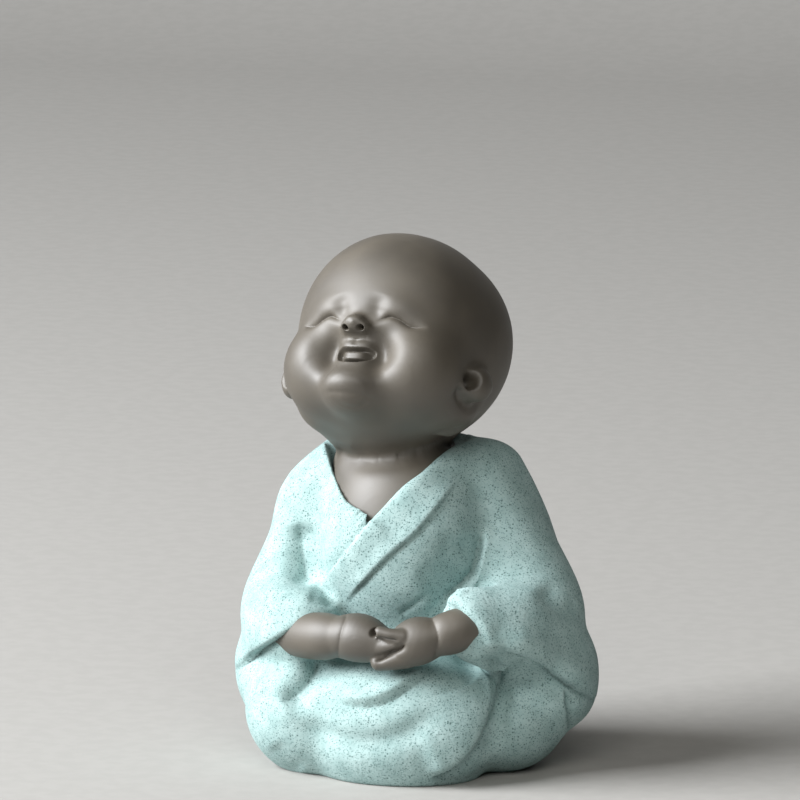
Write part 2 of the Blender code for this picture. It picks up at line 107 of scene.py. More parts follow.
def roll(stations, beads=8):
    """A tapering roll of clay through stations of x, y, z and radius."""
    return [egg((x, y, z), (radius, radius, radius)) for x, y, z, radius in smooth_path(stations, beads)]


# %% [markdown]
# A voxel remesh fuses all the lumps of a piece into one closed skin, and a Smooth modifier wipes the
# seams away, as a wet thumb would. The same modifier with a vertex group rubs one rim alone.

# %% Join, fuse and rub

SMOOTHING = 0.5  # share of the way to its neighbours' middle that a point goes in one pass


def gather(name, lumps):
    """Joins the lumps into one object whose place is in its mesh."""
    bpy.ops.object.select_all(action="DESELECT")
    for lump in lumps:
        lump.select_set(True)
    bpy.context.view_layer.objects.active = lumps[0]
    bpy.ops.object.join()
    bpy.ops.object.transform_apply(location=True, rotation=True, scale=True)
    piece = bpy.context.object
    piece.name = piece.data.name = name
    return piece


def only(piece):
    """Makes this piece the one that the next operator acts on."""
    bpy.ops.object.select_all(action="DESELECT")
    piece.select_set(True)
    bpy.context.view_layer.objects.active = piece


def modify(piece, kind, **settings):
    """Adds a modifier and applies it at once."""
    only(piece)
    bpy.ops.object.modifier_add(type=kind)
    modifier = piece.modifiers[-1]
    for setting, value in settings.items():
        setattr(modifier, setting, value)
    bpy.ops.object.modifier_apply(modifier=modifier.name)


def fuse(piece, voxel, passes):
    """Fuses the lumps into one skin, with facets of voxel model units, and softens it."""
    modify(piece, "REMESH", mode="VOXEL", voxel_size=voxel * U)
    modify(piece, "SMOOTH", factor=SMOOTHING, iterations=passes)
    print(piece.name, "fused:", len(piece.data.vertices), "points")


def rub(piece, chosen, passes):
    """Smooths the chosen points alone."""
    rubbed = piece.vertex_groups.new(name="rubbed")
    rubbed.add(np.flatnonzero(chosen).tolist(), 1.0, "REPLACE")
    modify(piece, "SMOOTH", factor=SMOOTHING, iterations=passes, vertex_group=rubbed.name)
    piece.vertex_groups.clear()
    print(piece.name, "rubbed round:", np.count_nonzero(chosen), "points")


# %% [markdown]
# ## A modelling stick: strokes that press the skin
#
# Sculpt brushes need a window and a hand, and knife cuts would leave hard edges. A stroke here is a
# line drawn on the picture plane of some view. Every point of the skin finds how near it is to that
# line and moves along its own normal: a crease is a sharp valley, a fold a soft ridge, and an edge
# lifts one side of the line and tucks the other under it, as a layer of cloth does.

# %% Views to draw strokes on

# Azimuth and elevation in degrees
FACE_ON = (0.0, 0.0)
THREE_QUARTER = (15.0, 10.0)


def ramp(x):
    """0 below 0, 1 above 1, smooth between."""
    x = np.clip(x, 0, 1)
    return x * x * (3 - 2 * x)


def axes(view):
    """The directions across and up in the picture plane of a view."""
    a, e = (math.radians(x) for x in view)
    across = np.array((math.cos(a), math.sin(a), 0))
    up = np.array((-math.sin(a) * math.sin(e), math.cos(a) * math.sin(e), math.cos(e)))
    return across, up


def on_picture(view, u, v, depth):
    """The point at u across, v up and depth towards the viewer, on a view's picture plane."""
    across, up = (Vector(axis) for axis in axes(view))
    return across * u + up * v + across.cross(up) * depth


# %% The stick

# A stroke works in full where at least this share of the skin's normal points at the viewer, and a
# poke where this share points at the stick
TURNED_TO_VIEWER = 0.25
TURNED_TO_STICK = 0.2
TUCK = 1.5  # how much further than its sharp side an edge tucks in


class Skin:
    """The points and normals of a piece, in model units, in the piece's own frame."""

    def __init__(self, piece, place=None):
        self.mesh = piece.data
        place = np.array(place or Matrix.Identity(4), float)
        self.turn, self.origin = place[:3, :3], place[:3, 3]
        co = np.empty(len(self.mesh.vertices) * 3, np.float32)
        self.mesh.vertices.foreach_get("co", co)
        self.co = (co.reshape(-1, 3).astype(float) / U - self.origin) @ self.turn
        self.settle()

    def settle(self):
        """Writes the points back and reads the normals again."""
        world = self.co @ self.turn.T + self.origin
        self.mesh.vertices.foreach_set("co", (world * U).astype(np.float32).ravel())
        self.mesh.update()
        normals = np.empty(len(self.co) * 3, np.float32)
        self.mesh.vertex_normals.foreach_get("vector", normals)
        self.no = normals.reshape(-1, 3).astype(float) @ self.turn

    def near(self, view, path):
        """Distance from a drawn line, the side of it (1 left, -1 right), share along it, and facing."""
        across, up = axes(view)
        flat = np.stack([self.co @ across, self.co @ up], 1)
        facing = self.no @ np.cross(across, up)
        line = smooth_path(path)
        runs = np.diff(line, axis=0)
        length = np.linalg.norm(runs, axis=1)
        start = np.concatenate([[0], np.cumsum(length)])
        best = np.full(len(flat), np.inf)
        side, share = np.zeros(len(flat)), np.zeros(len(flat))
        for a, run, size, begun in zip(line, runs, length, start):
            away = flat - a
            t = np.clip(away @ run / size**2, 0, 1)
            d = np.linalg.norm(away - t[:, None] * run, axis=1)
            closer = d < best
            best = np.where(closer, d, best)
            side = np.where(closer, np.sign(run[0] * away[:, 1] - run[1] * away[:, 0]), side)
            share = np.where(closer, (begun + t * size) / start[-1], share)
        return best, side, share, facing

    def press(self, amount, along=None):
        """Moves every point by amount along its normal, or along a fixed direction."""
        self.co = self.co + amount[:, None] * (self.no if along is None else np.array(along, float))

    def crease(self, view, path, width, depth, fade=0.15):
        """A valley with a sharp bottom, which fades out over this share of the line at both ends."""
        d, _, share, facing = self.near(view, path)
        ends = ramp(np.minimum(share, 1 - share) / fade)
        self.press(-depth * np.exp(-d / width) * ends * ramp(facing / TURNED_TO_VIEWER))

    def fold(self, view, path, width, height, fade=0.25):
        """A soft ridge, or with a negative height a soft hollow."""
        d, _, share, facing = self.near(view, path)
        ends = ramp(np.minimum(share, 1 - share) / fade)
        self.press(height * np.exp(-((d / width) ** 2)) * ends * ramp(facing / TURNED_TO_VIEWER))

    def edge(self, view, path, lift, reach, undercut, fade, sharp):
        """The edge of a layer of cloth: left of the stroke stands proud, right is tucked in."""
        d, side, share, facing = self.near(view, path)
        ends = ramp(np.minimum(share, 1 - share) / fade)
        proud = lift * ramp(d / sharp) * np.exp(-((d / reach) ** 2)) * (side > 0)
        tucked = undercut * np.exp(-d / (TUCK * sharp)) * (side <= 0)
        self.press((proud - tucked) * ends * ramp(facing / TURNED_TO_VIEWER))

    def poke(self, spot, inward, radius, depth):
        """A round pit, pushed in at a spot with the stick's end."""
        inward = np.array(inward, float) / np.linalg.norm(inward)
        away = self.co - np.array(spot)
        off_axis = np.linalg.norm(away - (away @ inward)[:, None] * inward, axis=1)
        # The other side of the piece is beyond the stick's reach
        within_reach = np.abs(away @ inward) < 3 * radius + 1
        facing = -(self.no @ inward)
        here = within_reach * ramp(facing / TURNED_TO_STICK)
        self.press(depth * np.exp(-((off_axis / radius) ** 4)) * here, inward)

    def swell(self, centre, radii, height):
        """A soft bump round a point, or with a negative height a dent."""
        away = (self.co - np.array(centre)) / np.array(radii)
        self.press(height * np.exp(-(away**2).sum(1)))


# %% [markdown]
# ## The robe
#
# A child's robe, pulled over crossed legs: the lap is one cushion of cloth that sags between the
# knees, the sleeves hang in pouches behind it, and the left lapel crosses over the right one. The
# body leans a little to its right, so the lumps are sheared before they fuse.

# %% Lumps of the robe

BODY_LEAN = -0.033  # sideways for each unit of height
ROBE_COARSE = 0.8
ROBE_FINE = 0.355

# Stations of x, y, z and radius, from the shoulder down each sleeve
LEFT_SLEEVE = [
    (9.7, 2.5, 40.9, 5.9),
    (14.1, 1.5, 31.0, 7.0),
    (18.8, -2.0, 22.5, 7.3),
    (17.0, -9.0, 21.5, 6.6),
    (13.4, -13.4, 22.2, 5.3),
]
RIGHT_SLEEVE = [
    (-9.3, 2.5, 41.0, 5.6),
    (-13.2, 2.1, 36.0, 6.8),
    (-14.6, 1.3, 30.0, 6.9),
    (-17.8, -1.5, 21.5, 7.2),
    (-15.6, -9.0, 20.6, 6.4),
    (-12.6, -12.2, 21.2, 5.0),
]

robe = gather(
    "robe",
    [
        # Trunk, chest, shoulders, seat and back
        egg((0, 3.5, 24), (17.0, 13.5, 24)),
        egg((0, -1.5, 32), (12.8, 12.2, 15.5)),
        egg((0, 2.2, 43.3), (12.4, 11.0, 4.9)),
        egg((-0.6, 5, 9.5), (21.2, 16, 12)),
        egg((0, 8.5, 24), (16.4, 11.5, 21)),
        # The left knee lies lower and further back than the cloth over the right one
        egg((12.8, -2.8, 7.6), (10.2, 11.0, 8.4)),
        egg((-11.6, -7.2, 8.0), (11.4, 12.8, 10.2)),
        egg((0.6, -11.6, 7.0), (14.8, 10.8, 11.2)),
        # The pouches of the sleeves
        egg((-20.0, -1.5, 12.6), (6.0, 9.0, 8.8)),
        egg((21.4, -1.5, 14.0), (6.2, 8.4, 8.8)),
        egg((22.8, -1.2, 11.4), (4.4, 5.6, 5.2)),
        *roll(LEFT_SLEEVE),
        *roll(RIGHT_SLEEVE),
    ],
)
shear = Matrix.Identity(4)
shear[0][2] = BODY_LEAN
robe.data.transform(shear)
fuse(robe, ROBE_COARSE, passes=18)

# %% [markdown]
# The robe parts over the chest in a wedge, and the neck comes up through a round opening. Both are
# cut while the clay is coarse, and the foot is ground flat. The fine remesh after the cuts rounds
# their rims as a thick layer of sand rounds itself.

# %% Cut the collar's wedge, the neck's opening and the flat foot

# Where the lapels part, as points on the three-quarter view
RIGHT_COLLAR = [(-15.0, 56), (-13.3, 46.2), (-12.1, 41.4), (-10.4, 37.5), (-7.5, 33.5)]
LEFT_COLLAR = [(-2.45, 38.5), (3.3, 43.6), (8.4, 47.9), (12.0, 56)]
WEDGE_BACK, WEDGE_FRONT = 1.0, 40.0
NECK_HOLE_AT = (-2.2, 2.0, 51.5)
NECK_HOLE_RADII = (8.9, 10.2)
NECK_HOLE_HEIGHT = 12
GROUND_SIZE = 100

outline = RIGHT_COLLAR + LEFT_COLLAR
bpy.ops.mesh.primitive_circle_add(vertices=len(outline), radius=U, fill_type="NGON")
wedge = bpy.context.object
for point, (u, v) in zip(wedge.data.vertices, outline):
    point.co = on_picture(THREE_QUARTER, u, v, WEDGE_BACK) * U
forward = on_picture(THREE_QUARTER, 0, 0, WEDGE_FRONT - WEDGE_BACK) * U
bpy.ops.object.mode_set(mode="EDIT")
bpy.ops.mesh.select_all(action="SELECT")
bpy.ops.mesh.extrude_region_move(TRANSFORM_OT_translate={"value": forward})
bpy.ops.mesh.select_all(action="SELECT")
bpy.ops.mesh.normals_make_consistent(inside=False)
bpy.ops.object.mode_set(mode="OBJECT")

bpy.ops.mesh.primitive_cone_add(
    vertices=64,
    radius1=NECK_HOLE_RADII[0] * U,
    radius2=NECK_HOLE_RADII[1] * U,
    depth=NECK_HOLE_HEIGHT * U,
    location=Vector(NECK_HOLE_AT) * U,
)
well = bpy.context.object
bpy.ops.mesh.primitive_cube_add(size=GROUND_SIZE * U, location=(0, 0, -GROUND_SIZE / 2 * U))
ground = bpy.context.object
for cutter in (wedge, well, ground):
    modify(robe, "BOOLEAN", operation="DIFFERENCE", solver="EXACT", object=cutter)
    bpy.data.objects.remove(cutter)
fuse(robe, ROBE_FINE, passes=5)

# %% [markdown]
# The cuts leave steps along the collar, most of all at the back, where it is thin. A thumb run along
# it makes the rim round.

# %% Rub the collar's rim round

RIM_WIDTH = 2.2  # either side of the lapels' lines
RIM_ABOVE = 33
RIM_BEFORE = 9  # of y: on this view the lines cross the back of the robe too, which isn't rubbed
COLLAR_ABOVE = 41

cloth = Skin(robe)
from_right = cloth.near(THREE_QUARTER, RIGHT_COLLAR)[0]
from_left = cloth.near(THREE_QUARTER, LEFT_COLLAR)[0]
x, y, z = cloth.co.T
by_lapels = (np.minimum(from_right, from_left) < RIM_WIDTH) & (z > RIM_ABOVE) & (y < RIM_BEFORE)
rub(robe, by_lapels | (z > COLLAR_ABOVE), passes=20)

# %% [markdown]
# The folds are strokes on the three-quarter view from which such a figure is looked at. The big ones
# come first, and the skin settles between groups of them, so that the later strokes follow the
# normals that the earlier ones left.

# %% Cross the lapels and hang the sleeves from the shoulders

cloth = Skin(robe)
# The left lapel lies over the right one, and a band is sewn along its edge
lapel = [(-5.6, 35.2), (-7.5, 33.3), (-9.7, 30.5), (-12.0, 27.6), (-14.2, 24.6)]
cloth.edge(THREE_QUARTER, lapel, lift=0.7, reach=3.2, undercut=0.5, fade=0.1, sharp=0.3)
# Below the band the robe falls away to the inner side of the left sleeve
below_band = [(7.4, 33.0), (6.2, 29.0), (3.6, 25.6), (0.6, 23.4)]
cloth.fold(THREE_QUARTER, below_band, width=3.0, height=-1.1)
cloth.settle()
seam = [(-10.4, 22.0), (-8.1, 25.0), (-4.2, 29.1), (-0.4, 32.4), (2.3, 35.5), (5.0, 38.8), (7.4, 41.3)]
cloth.edge(THREE_QUARTER, seam, lift=0.45, reach=1.6, undercut=0.55, fade=0.2, sharp=0.25)
# Inner sides of the upper sleeves
right_inner_arm = [(-17.2, 34.0), (-16.6, 30.0), (-16.0, 27.0), (-15.6, 24.6)]
cloth.fold(THREE_QUARTER, right_inner_arm, width=2.2, height=-1.3)
cloth.crease(THREE_QUARTER, right_inner_arm, width=0.7, depth=0.6)
right_elbow = [(-15.6, 23.8), (-13.8, 23.0), (-11.4, 22.2)]
cloth.fold(THREE_QUARTER, right_elbow, width=0.8, height=-0.5)
left_inner_arm = [(9.6, 34.0), (8.8, 29.5), (8.0, 26.8), (6.4, 25.0), (4.6, 23.5), (2.6, 21.6)]
cloth.edge(THREE_QUARTER, left_inner_arm, lift=1.3, reach=3.4, undercut=1.1, fade=0.25, sharp=0.7)
cloth.settle()

# %% Lay the hems over the knees

right_hem = [(-27.5, 11.5), (-24.9, 13.8), (-22.4, 15.8), (-19.7, 17.5), (-16.6, 19.4), (-13.7, 21.4)]
cloth.edge(THREE_QUARTER, right_hem, lift=0.75, reach=3.0, undercut=1.6, fade=0.4, sharp=0.5)
left_cuff = [(3.6, 23.0), (6.4, 21.3), (8.4, 19.5), (9.7, 17.8), (10.4, 16.4)]
cloth.edge(THREE_QUARTER, left_cuff, lift=0.7, reach=2.6, undercut=1.0, fade=0.3, sharp=0.5)
left_hem = [(8.6, 16.6), (10.6, 16.4), (13.1, 15.8), (16.6, 14.4), (20.9, 11.5), (24.7, 9.2), (27.0, 7.6)]
cloth.edge(THREE_QUARTER, left_hem, lift=0.75, reach=3.2, undercut=1.6, fade=0.28, sharp=0.5)
below_hem = [(11.0, 14.6), (16.2, 12.4), (20.4, 9.4), (23.5, 7.2)]
cloth.fold(THREE_QUARTER, below_hem, width=1.4, height=-1.0)
above_hem = [(11.0, 18.4), (14.6, 17.6), (18.4, 15.8), (22.6, 13.0), (25.4, 10.4)]
cloth.fold(THREE_QUARTER, above_hem, width=1.7, height=0.7)
# The pouch of the left sleeve hangs behind the knee, under a soft dent
behind_knee = [(21.6, 1.6), (21.5, 5.2), (21.3, 7.6), (20.8, 10.4)]
cloth.edge(THREE_QUARTER, behind_knee, lift=0.2, reach=2.0, undercut=1.5, fade=0.2, sharp=0.5)
dent = [(17.4, 25.6), (18.6, 23.8), (20.5, 21.6), (22.8, 21.1), (24.4, 22.2)]
cloth.fold(THREE_QUARTER, dent, width=1.6, height=-0.6)
cloth.settle()

# %% Fold the lap

# The right knee ends in a crease, and two sagging folds cross the lap
knee = [(-13.2, 16.4), (-14.2, 13.8), (-15.4, 11.8), (-17.2, 9.9), (-19.6, 8.2)]
cloth.fold(THREE_QUARTER, knee, width=2.1, height=-1.9)
cloth.crease(THREE_QUARTER, knee, width=0.8, depth=0.7)
upper_sag = [(-13.4, 9.9), (-11.6, 8.9), (-9.4, 8.3), (-6.6, 8.3), (-3.5, 9.4), (-0.4, 11.5), (2.6, 14.0)]
cloth.edge(THREE_QUARTER, upper_sag, lift=0.9, reach=3.0, undercut=0.5, fade=0.3, sharp=1.0)
lower_sag = [(-19.6, 7.0), (-15.9, 5.0), (-12.0, 3.6), (-7.3, 3.0), (-2.7, 3.9), (0.9, 5.8), (3.8, 8.9)]
cloth.fold(THREE_QUARTER, lower_sag, width=1.7, height=-0.75)
# The cloth over the right leg ends in a thick round edge on the left knee
apron_edge = [(1.6, -2.4), (5.8, -0.3), (8.5, 2.6), (10.2, 6.1), (11.2, 10.0), (10.9, 12.8), (8.9, 14.8)]
cloth.edge(THREE_QUARTER, apron_edge, lift=1.2, reach=5.0, undercut=2.2, fade=0.12, sharp=1.3)
beside_apron = [(9.6, 1.4), (11.8, 5.2), (12.8, 9.8), (12.6, 12.8)]
cloth.fold(THREE_QUARTER, beside_apron, width=1.3, height=-0.7)
cloth.settle()

# %% Span the back, and add the small folds

# The cloth spans from the back to each sleeve, seen from behind at either side
span = [(3.2, 44.0), (4.4, 40.0), (5.8, 35.0), (6.6, 30.0), (7.2, 25.0), (8.2, 19.0)]
for azimuth, side in ((225.0, 1), (135.0, -1)):
    cloth.fold((azimuth, 15.0), [(side * u, v) for u, v in span], width=2.6, height=1.4)
cloth.settle()
# Two small folds over the hands, and a hollow by the foot
for small_fold in ([(-2.6, 20.8), (-0.4, 22.3), (1.6, 23.9)], [(1.4, 20.8), (3.2, 22.6), (5.2, 24.4)]):
    cloth.crease(THREE_QUARTER, small_fold, width=0.4, depth=0.4)
by_foot = [(-20.8, 2.6), (-18.6, 0.0), (-16.0, -1.8)]
cloth.fold(THREE_QUARTER, by_foot, width=1.3, height=-0.4)
cloth.settle()
# The rim of the left cuff, at the front of the figure, is rubbed round like the collar's
CUFF_WIDTH = 2.4
CUFF_BEFORE = -8  # of y
from_cuff = cloth.near(THREE_QUARTER, left_cuff)[0]
rub(robe, (from_cuff < CUFF_WIDTH) & (cloth.co[:, 1] < CUFF_BEFORE), passes=12)

# %% [markdown]
# ## The head
#
# A bald baby's head, wide at the jowls, tipped right back in a laugh. It is easiest to model upright
# and face on, as a toy-maker does, and to tip it into place as it is built, so its lumps and strokes
# are given in the head's own frame. The neck and the strip of chest that the lapels leave bare are
# one with it.

# %% Lumps of the head

HEAD_TIPPED_BACK = math.radians(33.0)
HEAD_TURNED = math.radians(-11.0)
HEAD_ROLLED = math.radians(-4.0)
HEAD_CENTRE = Vector((-2.4, -1.6, 60.4))
HEAD_COARSE = 0.8
HEAD_FINE = 0.4

head_place = (
    Matrix.Translation(HEAD_CENTRE)
    @ Matrix.Rotation(HEAD_TURNED, 4, "Z")
    @ Matrix.Rotation(-HEAD_TIPPED_BACK, 4, "X")
    @ Matrix.Rotation(HEAD_ROLLED, 4, "Y")
)
in_metres = Matrix.Scale(U, 4) @ head_place @ Matrix.Scale(1 / U, 4)

head = gather(
    "head",
    [
        # Skull
        egg((0, 2.5, 1.2), (15.8, 14.0, 15.0)),
        egg((0, 0.2, 1.4), (14.9, 14.2, 15.0)),
        egg((0, -2.3, 1.2), (13.8, 12.7, 14.5)),
        # Jaw, cheeks, jowls and chin
        egg((0, -2.6, -6.4), (12.5, 11.5, 9.1)),
        *pair((6.2, -4.8, -6.6), (7.7, 9.3, 7.6)),
        *pair((8.0, -0.9, -7.9), (6.2, 7.4, 6.2)),
        egg((0, -8.4, -10.8), (5.2, 5.2, 4.2)),
    ],
)
head.data.transform(in_metres)
# The throat fills the collar, and the chest shows between the lapels
neck = gather(
    "neck",
    [
        egg((-3.0, 0.4, 50.8), (11.8, 10.8, 6.2), (14, -8, 0)),
        egg((-1.6, -0.3, 34.5), (11.5, 11.5, 13.5)),
        egg((-2.2, 1.4, 42.4), (10.9, 9.6, 4.4)),
    ],
)
head = gather("head", [head, neck])
fuse(head, HEAD_COARSE, passes=24)

# %% [markdown]
# The nose, lips and ears are smaller lumps on the fused head. Then the skin is remeshed finer.

# %% Nose, lips and ears

features = gather(
    "features",
    [
        # Nose: a button with two wings, and its bridge
        egg((0, -14.9, -3.3), (1.7, 1.7, 1.35)),
        *pair((1.35, -14.6, -3.8), (1.05, 1.25, 0.95)),
        egg((0, -13.6, -1.6), (1.3, 1.2, 2.2)),
        # Lips
        egg((0, -12.7, -5.9), (3.0, 1.3, 1.1)),
        egg((0, -12.3, -8.9), (2.6, 1.4, 1.0)),
        # Ears
        *pair((13.9, -1.3, -6.9), (2.3, 3.1, 3.0), (0, 10, 0)),
        *pair((12.5, -3.6, -8.2), (1.9, 2.2, 1.6)),
    ],
)
features.data.transform(in_metres)
head = gather("head", [head, features])
fuse(head, HEAD_FINE, passes=6)

# %% [markdown]
# The creases of the face are only a few tenths of a millimetre wide, too narrow for the facets of the
# rest of the head. So the face is subdivided once, and its middle once more.

# %% Make the face finer

# Limits of x, y and z in the head's own frame
FACE = ((-10.5, 10.5), (-20.0, -8.5), (-15.0, 4.0))
MIDDLE_OF_FACE = ((-9.8, 9.8), (-20.0, -9.5), (-10.0, 1.5))


def refine(piece, limits, passes=3):
    """Subdivides the faces whose middles are within the limits, and softens them."""
    only(piece)
    bpy.ops.object.mode_set(mode="EDIT")
    bpy.ops.mesh.select_all(action="DESELECT")
    bpy.ops.object.mode_set(mode="OBJECT")
    middles = np.empty(len(piece.data.polygons) * 3, np.float32)
    piece.data.polygons.foreach_get("center", middles)
    place = np.array(head_place)
    local = (middles.reshape(-1, 3) / U - place[:3, 3]) @ place[:3, :3]
    low, high = np.array(limits).T
    piece.data.polygons.foreach_set("select", ((local > low) & (local < high)).all(1))
    bpy.ops.object.mode_set(mode="EDIT")
    bpy.ops.mesh.select_mode(type="FACE")
    bpy.ops.mesh.subdivide(number_cuts=1)
    bpy.ops.mesh.vertices_smooth(factor=SMOOTHING, repeat=passes)
    bpy.ops.object.mode_set(mode="OBJECT")
    print(piece.name, "refined:", len(piece.data.vertices), "points")


refine(head, FACE)
refine(head, MIDDLE_OF_FACE)

# %% [markdown]
# A laugh pushes everything up and out: the cheeks crowd the mouth and nearly hide the eyes, which
# are two lines under soft mounds. The strokes are drawn on the face from straight ahead, or under
# the ears from the side, and the ones that come in pairs are mirrored.

# %% Press in the cheeks, eyes and ears


def mirrored(path, side):
    return [(side * x, z) for x, z in path]


face = Skin(head, head_place)
for side in (-1, 1):
    # Fat cheeks crowd the mouth: each slopes down to a valley beside it
    slope = [(3.4, -2.8), (4.2, -4.8), (4.7, -7.2), (4.4, -9.6), (3.9, -11.6)]
    face.fold(FACE_ON, mirrored(slope, side), width=2.2, height=-1.2, fade=0.45)
    valley = [(2.7, -3.0), (3.3, -5.0), (3.7, -7.2), (3.6, -9.4), (3.3, -11.0)]
    face.fold(FACE_ON, mirrored(valley, side), width=1.25, height=-1.15, fade=0.4)
    # A soft mound for the closed eye, and a hollow from the brow down to its inner corner
    face.swell((side * 5.2, -13.0, -0.2), (2.8, 4.0, 2.1), height=0.5)
    hollow = [(3.3, 1.6), (3.0, 0.4), (2.7, -0.8), (2.6, -2.2)]
    face.fold(FACE_ON, mirrored(hollow, side), width=1.3, height=-0.35, fade=0.4)
    face.swell((side * 2.7, -13.0, -1.7), (1.2, 4.0, 1.2), height=-0.4)
    # The ear is a shallow dish that stands clear of the jaw below
    face.swell((side * 14.4, -3.4, -7.0), (1.6, 1.4, 1.6), height=-0.15)
    under_ear = [(-6.0, -8.6), (-3.8, -10.0), (-1.0, -10.2), (1.2, -8.8), (2.0, -6.6)]
    face.crease((side * 90.0, 0.0), mirrored(under_ear, side), width=0.8, depth=1.2)
# Where the nose sits on the lip, and the groove under it
under_nose = [(-2.8, -4.7), (-1.4, -5.1), (0, -5.2), (1.4, -5.1), (2.8, -4.7)]
face.fold(FACE_ON, under_nose, width=0.5, height=-0.4)
groove = [(0, -4.9), (0, -5.5), (0, -6.2)]
face.fold(FACE_ON, groove, width=0.45, height=-0.15)
# Chin
face.swell((-1.0, -13.0, -11.9), (4.4, 5.0, 2.6), height=2.5)
face.settle()
# The closed lids, the nostrils and the ears' pits
for side in (-1, 1):
    lid = [(2.5, -2.6), (3.5, -2.1), (4.6, -1.8), (6.0, -2.0), (7.5, -2.5), (8.8, -2.5), (9.8, -2.1)]
    face.crease(FACE_ON, mirrored(lid, side), width=0.4, depth=0.75, fade=0.3)
    face.poke((side * 1.15, -16.0, -4.7), (0, 0.75, 0.66), radius=0.42, depth=1.3)
    face.poke((side * 13.6, -3.4, -7.1), (-side * 0.75, 0.66, 0), radius=1.05, depth=2.6)
under_chin = [(-5.6, -13.0), (-2.5, -13.7), (0, -13.9), (2.5, -13.7), (5.6, -13.0)]
face.crease(FACE_ON, under_chin, width=1.0, depth=0.4, fade=0.4)
face.settle()

# %% [markdown]
# The mouth is a dark crescent with the tongue showing in it. Both are formulas rather than strokes: a
# rounded box, bent up at its corners, is pushed straight back, but less far where the tongue is. The
# higher the powers in them, the more each is like a box.

# %% Open the mouth

MOUTH_AT = (-0.2, -7.7)
MOUTH_HALF_WIDTH, MOUTH_HALF_HEIGHT = 3.2, 1.25
MOUTH_BEND = 0.08
MOUTH_DEPTH = 2.4
LIP_SLOPE = 0.8  # share of the opening over which it deepens
TONGUE_AT = (-0.1, -7.6)
TONGUE_HALF_WIDTH, TONGUE_HALF_HEIGHT = 2.3, 0.8
TONGUE_BEND = 0.06
TONGUE_RISE = 2.0
FRONT_OF_HEAD = -8  # of y: the back of the head isn't pushed

x, y, z = face.co.T
mouth_x = (x - MOUTH_AT[0]) / MOUTH_HALF_WIDTH
mouth_z = (z - MOUTH_AT[1] - MOUTH_BEND * x**2) / MOUTH_HALF_HEIGHT
opening = 1 - np.abs(mouth_x) ** 3 - np.abs(mouth_z) ** 2.6
inside = ramp(opening / LIP_SLOPE) * (y < FRONT_OF_HEAD)
tongue_x = (x - TONGUE_AT[0]) / TONGUE_HALF_WIDTH
tongue_z = (z - TONGUE_AT[1] - TONGUE_BEND * x**2) / TONGUE_HALF_HEIGHT
tongue = np.exp(-(tongue_x**4) - tongue_z**6)
face.press(-inside * (MOUTH_DEPTH - TONGUE_RISE * tongue), (0, -1, 0))
face.settle()

# %% Crease the throat behind the lapels

throat = [(8.4, 48.4), (6.8, 47.3), (2.7, 45.2), (-1.0, 43.9), (-4.5, 43.3), (-8.0, 43.2)]
throat += [(-10.4, 43.6), (-12.9, 46.0)]
body = Skin(head)
body.fold(THREE_QUARTER, throat, width=1.6, height=-0.9)
body.crease(THREE_QUARTER, throat, width=0.6, depth=0.6)
body.settle()

# %% [markdown]
# ## The hands
#
# The hands lie one over the other in the lap, chubby and almost without fingers: rolls of clay with
# a thumb, and a crease round each wrist.

# %% Roll the forearms, hands and thumb

HANDS_FINE = 0.16

# Stations of x, y, z and radius
RIGHT_ARM = [
    (-16.4, -10.5, 19.6, 3.1),
    (-13.0, -14.4, 20.1, 3.25),
    (-9.4, -16.7, 20.6, 3.4),
    (-6.7, -17.8, 20.9, 3.0),
    (-3.6, -18.3, 21.0, 3.5),
    (-0.8, -18.9, 20.5, 2.7),
]
RIGHT_FINGERTIPS = [(-0.6, -19.6, 20.3, 1.9), (1.2, -20.4, 20.5, 1.45), (2.4, -20.9, 20.8, 1.1)]
LEFT_ARM = [
    (15.4, -12.0, 23.3, 2.9),
    (11.4, -16.0, 22.8, 3.05),
    (9.4, -17.4, 22.2, 3.1),
    (7.4, -18.2, 21.6, 2.8),
    (5.0, -18.5, 21.0, 3.45),
    (3.4, -19.0, 20.2, 2.9),
]
LEFT_FINGERS = [(3.6, -19.4, 19.4, 2.2), (1.6, -20.0, 18.6, 1.65), (-0.2, -20.3, 18.0, 1.2)]
LEFT_THUMB = [(3.4, -20.8, 21.9, 1.3), (1.8, -21.4, 22.2, 1.05), (0.3, -21.5, 22.6, 0.9)]

rolls = (RIGHT_ARM, RIGHT_FINGERTIPS, LEFT_ARM, LEFT_FINGERS, LEFT_THUMB)
hands = gather("hands", [bead for stations in rolls for bead in roll(stations)])
fuse(hands, HANDS_FINE, passes=8)

# %% Crease the wrists and part the hands

skin = Skin(hands)
right_wrist = [(-9.9, 21.6), (-10.6, 19.6), (-11.1, 17.6), (-11.4, 14.4)]
left_wrist = [(2.0, 20.9), (2.7, 19.0), (2.9, 17.4), (2.6, 14.6)]
for wrist in (right_wrist, left_wrist):
    skin.crease(THREE_QUARTER, wrist, width=0.4, depth=0.25, fade=0.1)
# The gap between the hands, and a dimple by the thumb's tip
gap = [(-1.6, 17.2), (-2.6, 16.2), (-4.3, 15.4), (-6.2, 14.4)]
skin.crease(THREE_QUARTER, gap, width=0.3, depth=0.9, fade=0.2)
upper_gap = [(-6.0, 18.0), (-4.4, 17.6), (-2.4, 17.5)]
skin.crease(THREE_QUARTER, upper_gap, width=0.25, depth=0.5, fade=0.3)
skin.poke((-0.7, -21.0, 22.4), (0, 1, 0), radius=0.5, depth=1.2)
skin.settle()

# %% [markdown]
# ## Where it stands
#
# The three pieces have been modelled round the middle of the seat. The construction model has its
# origin under the middle of its box, so all three move by the difference between the boxes.

# %% Bring the figure to its place and to its body


